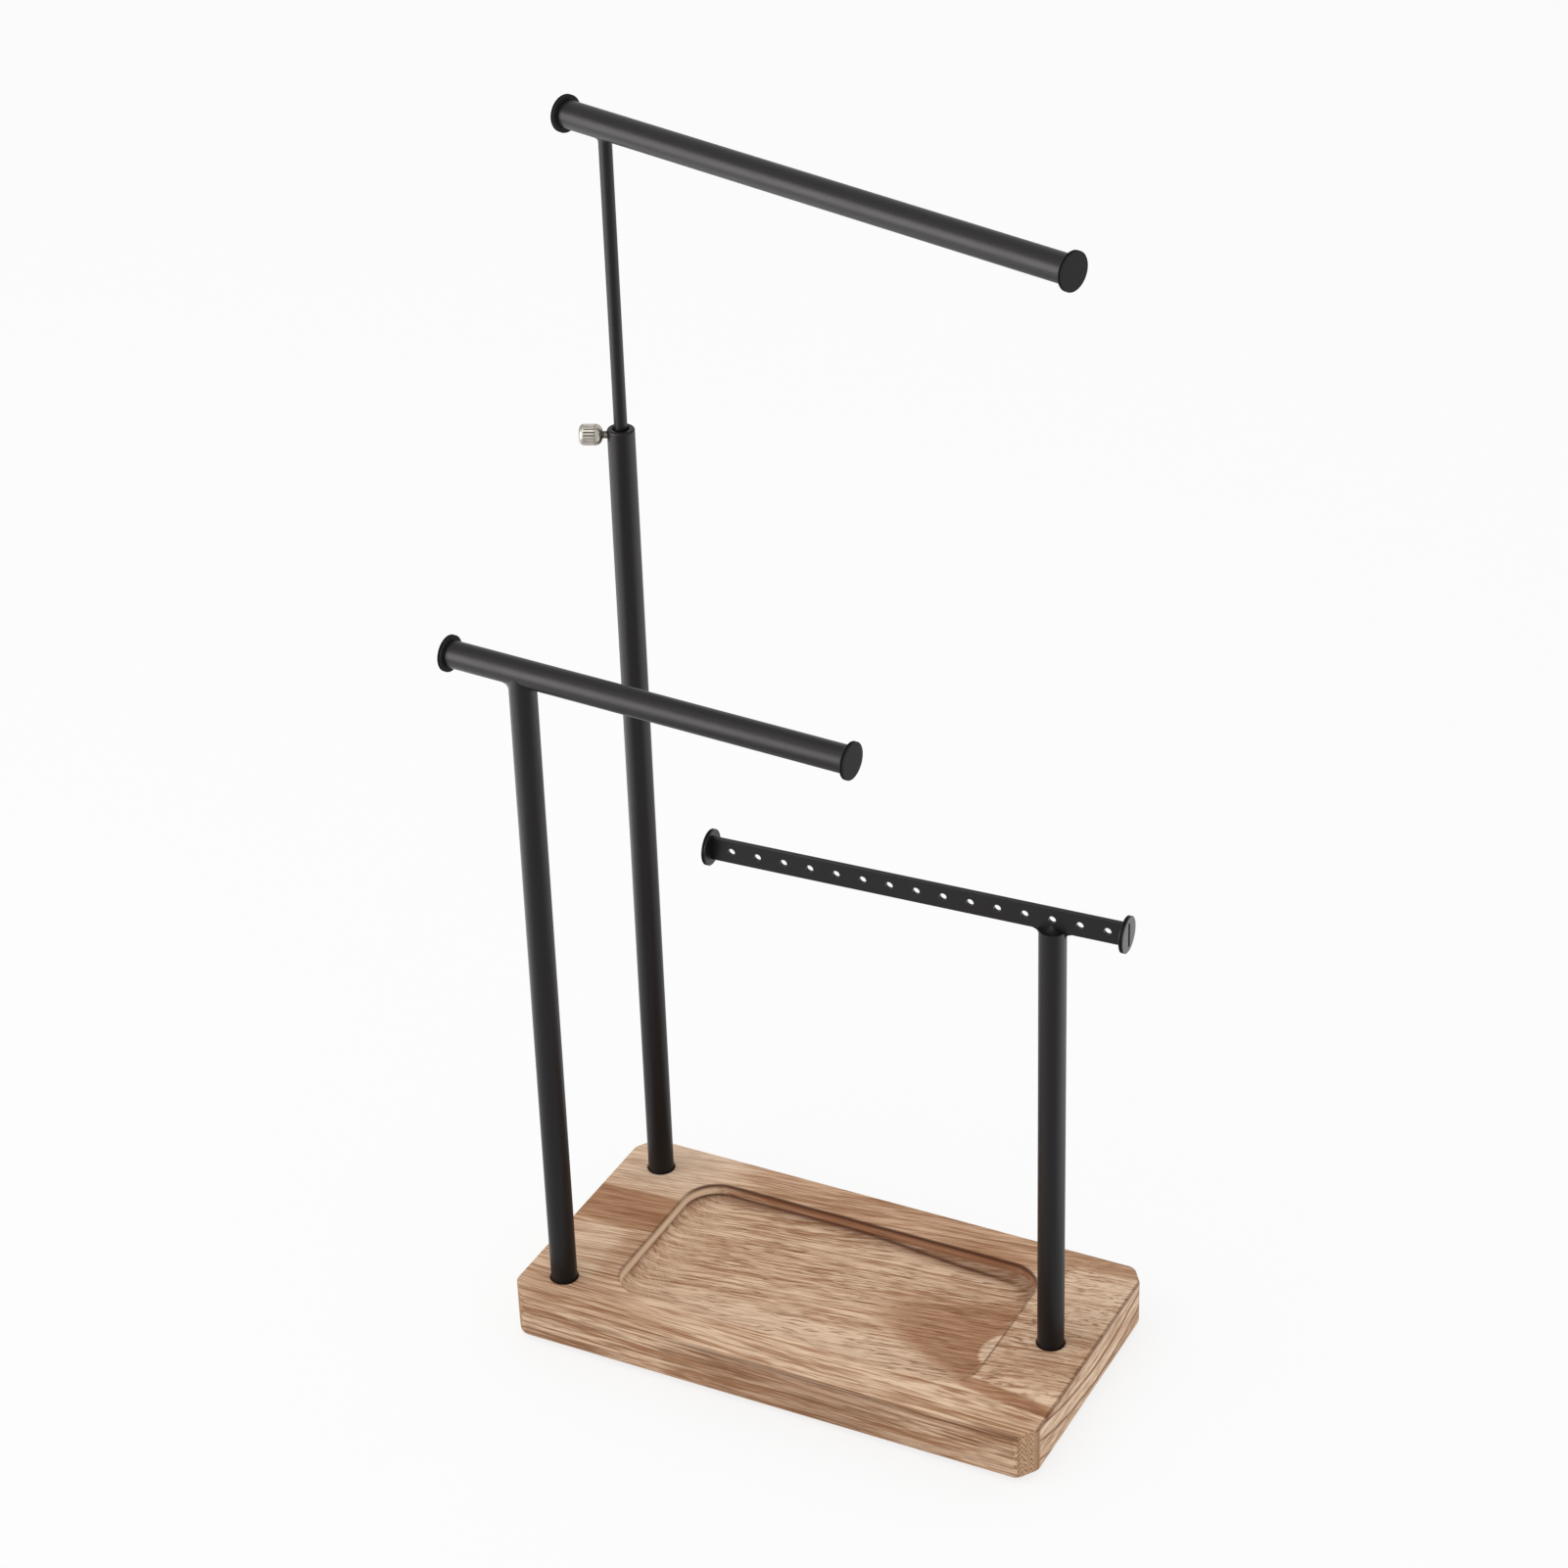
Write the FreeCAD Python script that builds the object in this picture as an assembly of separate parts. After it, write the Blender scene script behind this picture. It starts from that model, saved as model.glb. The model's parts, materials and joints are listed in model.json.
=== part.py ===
import FreeCAD, Part
import math
import os
from FreeCAD import Vector

# Necklace stand in millimetres, +Z up. The origin is the centre of the board's outline, on the surface
# that the foot pads stand on. +X runs along the board to the short post, +Y runs to the rear.

# Board
board_length = 215.8
board_width = 110.6
board_thickness = 20.5
corner_cut_along_length = 5.3
corner_cut_along_width = 7.9
corner_cut_ease = 4.5
board_top_ease = 0.8
board_bottom_round = 3.2

# Ring tray routed in the board: an upright wall, then a cove that runs into the floor
tray_margin_x = 33.9
tray_margin_y = 16.8
tray_corner_radius = 14.0
tray_wall_depth = 4.5
tray_cove_depth = 3.0
tray_cove_width = 8.0

# Foot pads under the board
pad_diameter = 12.0
pad_thickness = 1.5
pad_edge_round = 0.4
pad_inset_x = 32.9
pad_inset_y = 15.3

# Tube stock of the posts and the necklace bars
tube_diameter = 10.0
tube_wall = 1.0

# Places of the posts, from the edges of the board, and their sockets
post_inset_x = 16.1
left_post_inset_y = 16.3
socket_depth = 6.0
socket_clearance = 0.35

# Heights above the surface
rear_post_top = 341.9
top_bar_height = 455.0
mid_bar_height = 282.2
strip_height = 205.7

# Turn of each bar about its own post, in degrees from +X
top_bar_yaw = -16.0
mid_bar_yaw = -4.3
strip_yaw = 2.1

# Reach of the necklace bars from their posts, to the outer faces of their caps
top_bar_short_reach = 19.4
top_bar_long_reach = 205.4
mid_bar_short_reach = 31.2
mid_bar_long_reach = 132.8

# End caps of the necklace bars, with a groove round the rim of the flange
cap_diameter = 13.4
cap_thickness = 1.6
cap_edge_round = 0.3
cap_groove_width = 0.6
cap_groove_depth = 0.7
cap_plug_length = 9.0
cap_plug_wall = 1.2
cap_plug_chamfer = 0.6

# Earring strip and the discs on its ends
strip_width = 9.4
strip_thickness = 1.5
strip_edge_round = 0.4
hook_hole_diameter = 2.8
hook_hole_pitch = 10.2
hook_holes_left_of_post = 12
hook_holes_right_of_post = 2
strip_left_margin = 7.6
strip_right_margin = 6.0
strip_end_recess = 0.5
strip_seat_depth = 0.6

# Sliding rod of the rear post, with the glide on its neck
rod_diameter = 4.8
rod_insertion = 60.0
rod_end_gap = 0.2
neck_groove = 0.8
rod_head_length = 1.5
rod_head_chamfer = 0.4
glide_length = 10.0
glide_slot = 1.2
glide_play = 0.1
glide_edge_chamfer = 0.8

# Bush in the mouth of the rear post
bush_length = 14.0
bush_lip = 1.0
bush_lip_round = 0.8
bush_mouth_flare = 0.8
bush_mouth_depth = 1.2

# Thumbscrew that clamps the rod
clamp_drop = 2.5
clamp_yaw = 203.0
stud_diameter = 3.0
stud_tip_gap = 0.2
stud_tip_chamfer = 0.3
stud_bare_length = 1.7
knob_diameter = 7.7
knob_length = 8.2
knob_end_wall = 2.4
knob_outer_round = 1.7
knob_inner_round = 2.4
knurl_count = 20
knurl_width = 0.55
knurl_depth = 0.3

# Screws, washers and threaded inserts that hold the posts from below
screw_diameter = 4.0
screw_grip = 10.7
screw_head_diameter = 7.6
screw_head_height = 3.0
screw_head_round = 1.2
screw_slot_width = 1.1
screw_slot_length = 4.4
screw_slot_depth = 1.6
washer_diameter = 9.0
washer_thickness = 0.8
insert_length = 12.0
insert_chamfer = 0.5
counterbore_depth = 6.0
counterbore_clearance = 1.0
screw_clearance = 0.25

# Welds under the necklace bars and the strip, by the radius of their hollow faces, and on the strip's faces
rod_weld = 1.6
mid_bar_left_weld = 3.5
mid_bar_right_weld = 1.2
weld_root_share = 0.98
strip_side_weld = 2.0
strip_face_weld = 1.8
strip_face_weld_inset = 0.3

# Fits
seat_clearance = 0.03
running_clearance = 0.05
glide_clearance = 0.08
overrun = 1.0
match_tolerance = 0.001

up = Vector(0, 0, 1)
along_x = Vector(1, 0, 0)
along_y = Vector(0, 1, 0)
centre = Vector(0, 0, 0)
full_turn = 360
quarter_turn = 90

# Worked out from the sizes above
board_bottom = pad_thickness
board_top = board_bottom + board_thickness
tray_length = board_length - 2 * tray_margin_x
tray_width = board_width - 2 * tray_margin_y
tray_depth = tray_wall_depth + tray_cove_depth
tray_floor = board_top - tray_depth
post_foot = board_top - socket_depth
tube_radius = tube_diameter / 2
bore_radius = tube_radius - tube_wall
rod_radius = rod_diameter / 2
neck_radius = rod_radius - neck_groove
bush_bore_radius = rod_radius + running_clearance
clamp_height = rear_post_top - clamp_drop
stud_radius = stud_diameter / 2
knob_inner_end = tube_radius + stud_bare_length
knob_outer_end = knob_inner_end + knob_length
screw_radius = screw_diameter / 2
counterbore_top = board_bottom + counterbore_depth
strip_bottom = strip_height - strip_width / 2
right_post_top = strip_bottom + strip_seat_depth
strip_short_reach = hook_holes_right_of_post * hook_hole_pitch + strip_right_margin + cap_thickness
strip_long_reach = hook_holes_left_of_post * hook_hole_pitch + strip_left_margin + cap_thickness
post_x = board_length / 2 - post_inset_x
left_post_y = board_width / 2 - left_post_inset_y
rear_foot = Vector(-post_x, left_post_y, 0)
front_foot = Vector(-post_x, -left_post_y, 0)
right_foot = Vector(post_x, 0, 0)


def disc(radius, height, bottom=0):
    """Upright cylinder on the Z axis."""
    return Part.makeCylinder(radius, height, Vector(0, 0, bottom), up)


def bar(radius, start, end):
    """Level cylinder on the X axis."""
    return Part.makeCylinder(radius, end - start, Vector(start, 0, 0), along_x)


def block(size_x, size_y, size_z, bottom):
    """Box centred on the Z axis."""
    return Part.makeBox(size_x, size_y, size_z, Vector(-size_x / 2, -size_y / 2, bottom))


def at_foot(shape, foot, yaw=0, height=0):
    """The shape turned about Z, then moved over a foot at a height."""
    placed = shape.copy()
    placed.rotate(centre, up, yaw)
    placed.translate(foot + Vector(0, 0, height))
    return placed


def rim(shape, axis, place, radius):
    """Circular edges of one radius at one place along an axis."""
    found = []
    for edge in shape.Edges:
        curve = edge.Curve
        if not isinstance(curve, Part.Circle):
            continue
        level = abs(curve.Center.dot(axis) - place) < match_tolerance
        if level and abs(curve.Radius - radius) < match_tolerance:
            found.append(edge)
    return found


def level_edges(shape, height):
    """Edges that lie in the level plane at a height."""
    found = []
    for edge in shape.Edges:
        box = edge.BoundBox
        if abs(box.ZMin - height) < match_tolerance and abs(box.ZMax - height) < match_tolerance:
            found.append(edge)
    return found


def edges_along(shape, axis):
    """Straight edges of a block that run along an axis."""
    found = []
    for edge in shape.Edges:
        if abs(edge.tangentAt(edge.FirstParameter).dot(axis)) > match_tolerance:
            found.append(edge)
    return found


def rounded_prism(length, width, corner_radius, bottom, height):
    """Upright prism with a rectangular outline and round corners."""
    prism = block(length, width, height, bottom)
    return prism.makeFillet(corner_radius, edges_along(prism, up))


def hollow_arc(toe_point, run, rise):
    """Arc in XZ that leaves a point level along X and climbs a rise over a run."""
    radius = (run**2 + rise**2) / (2 * rise)
    half_sweep = math.asin(run / radius) / 2
    middle = Vector(radius * math.sin(half_sweep), 0, radius * (1 - math.cos(half_sweep)))
    return Part.Arc(toe_point, toe_point + middle, toe_point + Vector(run, 0, rise)).toShape()


def cove_section():
    """Section of the wood left under the tray's cove, in XZ, with the tray's wall at the corner radius."""
    wall = tray_corner_radius
    toe = wall - tray_cove_width
    crease_point = Vector(wall, 0, tray_cove_depth)
    toe_point = Vector(toe, 0, 0)
    behind_wall = Vector(wall + overrun, 0, tray_cove_depth)
    under_wall = Vector(wall + overrun, 0, -overrun)
    under_toe = Vector(toe, 0, -overrun)
    sides = Part.makePolygon([crease_point, behind_wall, under_wall, under_toe, toe_point])
    cove = hollow_arc(toe_point, tray_cove_width, tray_cove_depth)
    return Part.Face(Part.Wire(sides.Edges + [cove]))


def tray_cove():
    """Ring of wood round the tray's floor: a turned piece in each corner and a straight run before it."""
    reach_x = tray_length / 2 - tray_corner_radius
    reach_y = tray_width / 2 - tray_corner_radius
    corners = [(reach_x, reach_y), (-reach_x, reach_y), (-reach_x, -reach_y), (reach_x, -reach_y)]
    runs = [2 * reach_y, 2 * reach_x, 2 * reach_y, 2 * reach_x]
    pieces = []
    for turn, (x, y) in enumerate(corners):
        section = at_foot(cove_section(), Vector(x, y, 0), turn * quarter_turn, tray_floor)
        pieces.append(section.revolve(Vector(x, y, 0), up, quarter_turn))
        back = FreeCAD.Rotation(up, turn * quarter_turn).multVec(Vector(0, -runs[turn], 0))
        pieces.append(section.extrude(back))
    return pieces[0].multiFuse(pieces[1:])


def board_blank():
    """Slab whose upright corners are cut off flat, with the edges of the cuts eased."""
    outer_x = board_length / 2
    outer_y = board_width / 2
    inner_x = outer_x - corner_cut_along_length
    inner_y = outer_y - corner_cut_along_width
    right_half = [(inner_x, -outer_y), (outer_x, -inner_y), (outer_x, inner_y), (inner_x, outer_y)]
    left_half = [(-x, -y) for x, y in right_half]
    closed = right_half + left_half + right_half[:1]
    outline = Part.makePolygon([Vector(x, y, board_bottom) for x, y in closed])
    slab = Part.Face(outline).extrude(Vector(0, 0, board_thickness))
    return slab.makeFillet(corner_cut_ease, edges_along(slab, up))


def base_board():
    """Board with a coved tray, and a socket, a screw hole and a counterbore for each post."""
    slab = board_blank()
    slab = slab.makeFillet(board_bottom_round, level_edges(slab, board_bottom))
    slab = slab.makeFillet(board_top_ease, level_edges(slab, board_top))
    hollow = rounded_prism(tray_length, tray_width, tray_corner_radius, tray_floor, tray_depth + overrun)
    slab = slab.cut(hollow).fuse(tray_cove())
    cutters = []
    for foot in (rear_foot, front_foot, right_foot):
        socket = disc(tube_radius + socket_clearance, socket_depth + overrun, post_foot)
        screw_hole = disc(screw_radius + screw_clearance, board_thickness, board_bottom)
        bore_radius_below = washer_diameter / 2 + counterbore_clearance
        counterbore = disc(bore_radius_below, counterbore_depth + overrun, board_bottom - overrun)
        cutters += [at_foot(cutter, foot) for cutter in (socket, screw_hole, counterbore)]
    return slab.cut(Part.makeCompound(cutters)).removeSplitter()


def foot_pads():
    """Four round pads under the board."""
    pad = disc(pad_diameter / 2, pad_thickness)
    pad = pad.makeFillet(pad_edge_round, rim(pad, up, 0, pad_diameter / 2))
    pads = []
    for side_x in (-1, 1):
        for side_y in (-1, 1):
            x = side_x * (board_length / 2 - pad_inset_x)
            y = side_y * (board_width / 2 - pad_inset_y)
            pads.append(at_foot(pad, Vector(x, y, 0)))
    return Part.makeCompound(pads)


def post_tube(top):
    """Tube from the floor of its socket up to a height, on the Z axis."""
    return disc(tube_radius, top - post_foot, post_foot).cut(disc(bore_radius, top, 0))


def clamp_hole():
    """Tapped hole of the thumbscrew, from the rod's axis out past the tube."""
    hole = bar(stud_radius + running_clearance, 0, tube_diameter)
    return at_foot(hole, centre, clamp_yaw, clamp_height)


def rear_post_tube():
    """Outer tube of the telescoping post."""
    tube = post_tube(rear_post_top - bush_lip)
    return at_foot(tube.cut(clamp_hole()), rear_foot)


def guide_bush():
    """Lipped bush in the tube's mouth, bored for the rod and tapped for the thumbscrew."""
    lip_bottom = rear_post_top - bush_lip
    lip = disc(tube_radius, bush_lip, lip_bottom)
    lip = lip.makeFillet(bush_lip_round, rim(lip, up, rear_post_top, tube_radius))
    body = disc(bore_radius - seat_clearance, bush_length, lip_bottom - bush_length)
    bore = disc(bush_bore_radius, bush_length + bush_lip + 2 * overrun, lip_bottom - bush_length - overrun)
    mouth_bottom = Vector(0, 0, rear_post_top - bush_mouth_depth)
    mouth_radius = bush_bore_radius + bush_mouth_flare
    mouth = Part.makeCone(bush_bore_radius, mouth_radius, bush_mouth_depth, mouth_bottom)
    bush = body.fuse(lip).cut(bore).cut(mouth).cut(clamp_hole())
    return at_foot(bush.removeSplitter(), rear_foot)


def post_insert(foot):
    """Threaded plug in the lower end of a post."""
    plug_radius = bore_radius - seat_clearance
    plug = disc(plug_radius, insert_length, post_foot)
    plug = plug.makeChamfer(insert_chamfer, rim(plug, up, post_foot + insert_length, plug_radius))
    thread = disc(screw_radius + running_clearance, insert_length + 2 * overrun, post_foot - overrun)
    return at_foot(plug.cut(thread), foot)


def front_post_tube():
    """Post that is coped to the underside of the middle bar."""
    tube = post_tube(mid_bar_height)
    saddle = bar(tube_radius + seat_clearance, -tube_diameter, tube_diameter)
    return at_foot(tube.cut(at_foot(saddle, centre, 0, mid_bar_height)), front_foot, mid_bar_yaw)


def right_post_tube():
    """Short post with a slot across its open top, which the earring strip stands in."""
    tube = post_tube(right_post_top)
    slot_width = strip_thickness + 2 * seat_clearance
    seat = block(tube_diameter + overrun, slot_width, strip_seat_depth + overrun, strip_bottom)
    return at_foot(tube.cut(seat), right_foot, strip_yaw)


def post_screws():
    """Pan head screws with a cross recess, one under each post."""
    head_top = counterbore_top - washer_thickness
    head_radius = screw_head_diameter / 2
    head_bottom = head_top - screw_head_height
    head = disc(head_radius, screw_head_height, head_bottom)
    head = head.makeFillet(screw_head_round, rim(head, up, head_bottom, head_radius))
    for yaw in (0, quarter_turn):
        slot = block(screw_slot_length, screw_slot_width, screw_slot_depth + overrun, head_bottom - overrun)
        head = head.cut(at_foot(slot, centre, yaw))
    screw = head.fuse(disc(screw_radius, post_foot + screw_grip - head_top, head_top))
    return Part.makeCompound([at_foot(screw, foot) for foot in (rear_foot, front_foot, right_foot)])


def post_washers():
    """Washers between the screw heads and the board."""
    bottom = counterbore_top - washer_thickness
    washer = disc(washer_diameter / 2, washer_thickness, bottom)
    washer = washer.cut(disc(screw_radius + screw_clearance, washer_thickness, bottom))
    return Part.makeCompound([at_foot(washer, foot) for foot in (rear_foot, front_foot, right_foot)])


def bar_tube(short_reach, long_reach):
    """Necklace bar between the flanges of its caps, along X with its post at the origin."""
    start = cap_thickness - short_reach
    end = long_reach - cap_thickness
    return bar(tube_radius, start, end).cut(bar(bore_radius, start, end))


def grooved_flange():
    """Round flange on the X axis that ends at the origin, with a groove round the middle of its rim."""
    radius = cap_diameter / 2
    flange = bar(radius, -cap_thickness, 0)
    edges = rim(flange, along_x, 0, radius) + rim(flange, along_x, -cap_thickness, radius)
    flange = flange.makeFillet(cap_edge_round, edges)
    groove_end = (cap_groove_width - cap_thickness) / 2
    groove_start = groove_end - cap_groove_width
    ring = bar(radius + overrun, groove_start, groove_end)
    return flange.cut(ring.cut(bar(radius - cap_groove_depth, groove_start, groove_end)))


def end_cap():
    """Flanged cap on the X axis: its flange ends at the origin and its hollow plug points along -X."""
    plug_radius = bore_radius - seat_clearance
    plug_end = -cap_thickness - cap_plug_length
    plug = bar(plug_radius, plug_end, -cap_thickness)
    plug = plug.makeChamfer(cap_plug_chamfer, rim(plug, along_x, plug_end, plug_radius))
    plug = plug.cut(bar(plug_radius - cap_plug_wall, plug_end, -cap_thickness))
    return grooved_flange().fuse(plug)


def bar_caps(short_reach, long_reach):
    """The two caps of a necklace bar: on its short end, then on its long end."""
    short_cap = at_foot(end_cap(), Vector(-short_reach, 0, 0), 2 * quarter_turn)
    long_cap = at_foot(end_cap(), Vector(long_reach, 0, 0))
    return short_cap, long_cap


def top_bar_tube():
    """Top bar with the rod's hole through its lower wall."""
    tube = bar_tube(top_bar_short_reach, top_bar_long_reach)
    return tube.cut(disc(rod_radius + seat_clearance, tube_radius, -tube_radius))


def inner_rod():
    """Rod from the top bar's inside down into the rear post, with a neck and a head for the glide."""
    inside_top = math.sqrt(bore_radius**2 - rod_radius**2) - rod_end_gap
    rod_bottom = rear_post_top - rod_insertion
    neck_bottom = rod_bottom + rod_head_length
    neck_length = glide_length + 2 * glide_play
    head = disc(rod_radius, rod_head_length, rod_bottom)
    head = head.makeChamfer(rod_head_chamfer, rim(head, up, rod_bottom, rod_radius))
    neck = disc(neck_radius, neck_length, neck_bottom)
    shank_bottom = neck_bottom + neck_length
    shank = disc(rod_radius, top_bar_height + inside_top - shank_bottom, shank_bottom)
    return at_foot(head.multiFuse([neck, shank]), rear_foot)


def rod_glide():
    """Split glide that snaps on the rod's neck and runs in the rear post's tube."""
    bottom = rear_post_top - rod_insertion + rod_head_length + glide_play
    outer = bore_radius - glide_clearance
    glide = disc(outer, glide_length, bottom)
    edges = rim(glide, up, bottom, outer) + rim(glide, up, bottom + glide_length, outer)
    glide = glide.makeChamfer(glide_edge_chamfer, edges)
    glide = glide.cut(disc(neck_radius + running_clearance, glide_length, bottom))
    slot = Part.makeBox(outer, glide_slot, glide_length, Vector(0, -glide_slot / 2, bottom))
    return at_foot(glide.cut(slot), rear_foot)


def under_bar_weld(post_radius, root_radius, weld_radius):
    """Hollow-faced weld between a level bar on the X axis and the post that comes up under it."""
    reach = tube_radius + weld_radius + overrun
    level = bar(tube_radius, -reach, reach)
    joint = level.fuse(disc(root_radius, reach, -reach))
    seam = []
    for edge in joint.Edges:
        box = edge.BoundBox
        if abs(box.XMin) < reach - match_tolerance and box.ZMax < 0 and box.ZMin > match_tolerance - reach:
            seam.append(edge)
    weld = joint.makeFillet(weld_radius, seam)
    weld = weld.cut(bar(tube_radius + seat_clearance, -2 * reach, 2 * reach))
    return weld.cut(disc(post_radius + seat_clearance, reach + overrun, -reach - overrun))


def top_bar_weld():
    """Weld all round the rod, under the top bar."""
    return under_bar_weld(rod_radius, rod_radius, rod_weld)


def mid_bar_welds():
    """Welds on both sides of the front post, under the middle bar, the larger one on the left."""
    sides = []
    for weld_radius, side in ((mid_bar_left_weld, -1), (mid_bar_right_weld, 1)):
        weld = under_bar_weld(tube_radius, tube_radius * weld_root_share, weld_radius)
        sides += [solid for solid in weld.Solids if solid.CenterOfMass.x * side > 0]
    return Part.makeCompound(sides)


def earring_bar():
    """Flat strip on edge, with a row of hook holes counted from its post."""
    start = strip_end_recess - strip_long_reach
    end = strip_short_reach - strip_end_recess
    corner = Vector(start, -strip_thickness / 2, -strip_width / 2)
    strip = Part.makeBox(end - start, strip_thickness, strip_width, corner)
    strip = strip.makeFillet(strip_edge_round, edges_along(strip, along_x))
    holes = []
    for place in range(-hook_holes_left_of_post, hook_holes_right_of_post + 1):
        near_side = Vector(place * hook_hole_pitch, -strip_thickness, 0)
        holes.append(Part.makeCylinder(hook_hole_diameter / 2, 2 * strip_thickness, near_side, along_y))
    return strip.cut(Part.makeCompound(holes))


def strip_disc(reach, yaw):
    """Round disc at a reach from the post, with a slot right through it that holds the strip's end."""
    slot_thickness = strip_thickness + 2 * seat_clearance
    slot_width = strip_width + 2 * seat_clearance
    slot = block(2 * cap_thickness + overrun, slot_thickness, slot_width, -slot_width / 2)
    disc_at_end = grooved_flange().cut(slot)
    disc_at_end.translate(Vector(reach, 0, 0))
    return at_foot(disc_at_end, centre, yaw)


def strip_face_welds(tube_top):
    """Hollow-faced mound on each face of the strip, over the mouth of its post."""
    foot_radius = tube_radius - strip_face_weld_inset
    root_radius = strip_thickness / 2
    bottom = tube_top + seat_clearance
    top = bottom + strip_face_weld
    foot_point = Vector(foot_radius, 0, bottom)
    root_point = Vector(root_radius, 0, top)
    sides = Part.makePolygon([root_point, Vector(0, 0, top), Vector(0, 0, bottom), foot_point])
    hollow = hollow_arc(foot_point, root_radius - foot_radius, strip_face_weld)
    mound = Part.Face(Part.Wire(sides.Edges + [hollow])).revolve(centre, up, full_turn)
    strip_gap = block(tube_diameter, strip_thickness + 2 * seat_clearance, tube_diameter, bottom - overrun)
    return mound.cut(strip_gap).Solids


def strip_side_welds():
    """Hollow-faced fillet under the strip on each side of its post."""
    top = -strip_width / 2 - seat_clearance
    bottom = top - strip_side_weld
    tip = Vector(tube_radius + strip_side_weld, 0, top)
    toe = Vector(tube_radius, 0, bottom)
    sides = Part.makePolygon([toe, Vector(0, 0, bottom), Vector(0, 0, top), tip])
    hollow = hollow_arc(tip, -strip_side_weld, -strip_side_weld)
    section = Part.Face(Part.Wire(sides.Edges + [hollow]))
    section.translate(Vector(0, -strip_thickness / 2, 0))
    fillet = section.extrude(Vector(0, strip_thickness, 0))
    fillet = fillet.cut(disc(tube_radius + seat_clearance, strip_width, -strip_width))
    return [fillet, at_foot(fillet, centre, 2 * quarter_turn)]


def earring_bar_welds():
    """All welds between the strip and its post."""
    tube_top = strip_seat_depth - strip_width / 2
    return Part.makeCompound(strip_face_welds(tube_top) + strip_side_welds())


def clamp_stud():
    """Threaded stud of the thumbscrew, along X from the rod's face into the knob."""
    tip = rod_radius + stud_tip_gap
    stud = bar(stud_radius, tip, knob_outer_end - knob_end_wall)
    return stud.makeChamfer(stud_tip_chamfer, rim(stud, along_x, tip, stud_radius))


def clamp_knob():
    """Round knob with straight knurling and soft ends, along X, bored for the stud."""
    radius = knob_diameter / 2
    knob = bar(radius, knob_inner_end, knob_outer_end)
    knob = knob.makeFillet(knob_outer_round, rim(knob, along_x, knob_outer_end, radius))
    knob = knob.makeFillet(knob_inner_round, rim(knob, along_x, knob_inner_end, radius))
    knurl_start = knob_inner_end + knob_inner_round
    root = Vector(knurl_start, 0, radius - knurl_depth)
    left = Vector(knurl_start, -knurl_width, radius + knurl_depth)
    right = Vector(knurl_start, knurl_width, radius + knurl_depth)
    knurl_length = knob_length - knob_inner_round - knob_outer_round
    groove = Part.Face(Part.makePolygon([root, left, right, root])).extrude(Vector(knurl_length, 0, 0))
    grooves = []
    for number in range(knurl_count):
        turned = groove.copy()
        turned.rotate(centre, along_x, number * full_turn / knurl_count)
        grooves.append(turned)
    bore_end = knob_outer_end - knob_end_wall + running_clearance
    bore = bar(stud_radius + running_clearance, knob_inner_end, bore_end)
    return knob.cut(Part.makeCompound(grooves)).cut(bore)


def all_pieces():
    """Every piece of the stand by name, in its place."""
    pieces = {
        "base_board": base_board(),
        "foot_pads": foot_pads(),
        "rear_post_tube": rear_post_tube(),
        "guide_bush": guide_bush(),
        "front_post_tube": front_post_tube(),
        "right_post_tube": right_post_tube(),
        "post_screws": post_screws(),
        "post_washers": post_washers(),
        "inner_rod": inner_rod(),
        "rod_glide": rod_glide(),
    }
    feet = {"rear": rear_foot, "front": front_foot, "right": right_foot}
    for name, foot in feet.items():
        pieces[name + "_post_insert"] = post_insert(foot)
    top_left, top_right = bar_caps(top_bar_short_reach, top_bar_long_reach)
    mid_left, mid_right = bar_caps(mid_bar_short_reach, mid_bar_long_reach)
    top_pieces = {
        "tube": top_bar_tube(),
        "weld": top_bar_weld(),
        "left_cap": top_left,
        "right_cap": top_right,
    }
    mid_pieces = {
        "tube": bar_tube(mid_bar_short_reach, mid_bar_long_reach),
        "welds": mid_bar_welds(),
        "left_cap": mid_left,
        "right_cap": mid_right,
    }
    for name, shape in top_pieces.items():
        pieces["top_bar_" + name] = at_foot(shape, rear_foot, top_bar_yaw, top_bar_height)
    for name, shape in mid_pieces.items():
        pieces["mid_bar_" + name] = at_foot(shape, front_foot, mid_bar_yaw, mid_bar_height)
    strip_pieces = {
        "earring_bar": earring_bar(),
        "earring_bar_welds": earring_bar_welds(),
        "earring_bar_left_disc": strip_disc(strip_long_reach, 2 * quarter_turn),
        "earring_bar_right_disc": strip_disc(strip_short_reach, 0),
    }
    for name, shape in strip_pieces.items():
        pieces[name] = at_foot(shape, right_foot, strip_yaw, strip_height)
    for name, shape in {"clamp_stud": clamp_stud(), "clamp_knob": clamp_knob()}.items():
        pieces[name] = at_foot(shape, rear_foot, clamp_yaw, clamp_height)
    return pieces


os.makedirs("parts", exist_ok=True)
for node, piece in all_pieces().items():
    piece.exportStep("parts/" + node + ".step")
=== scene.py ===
import json
import math

import bmesh
import bpy
from mathutils import Matrix, Vector


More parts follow.
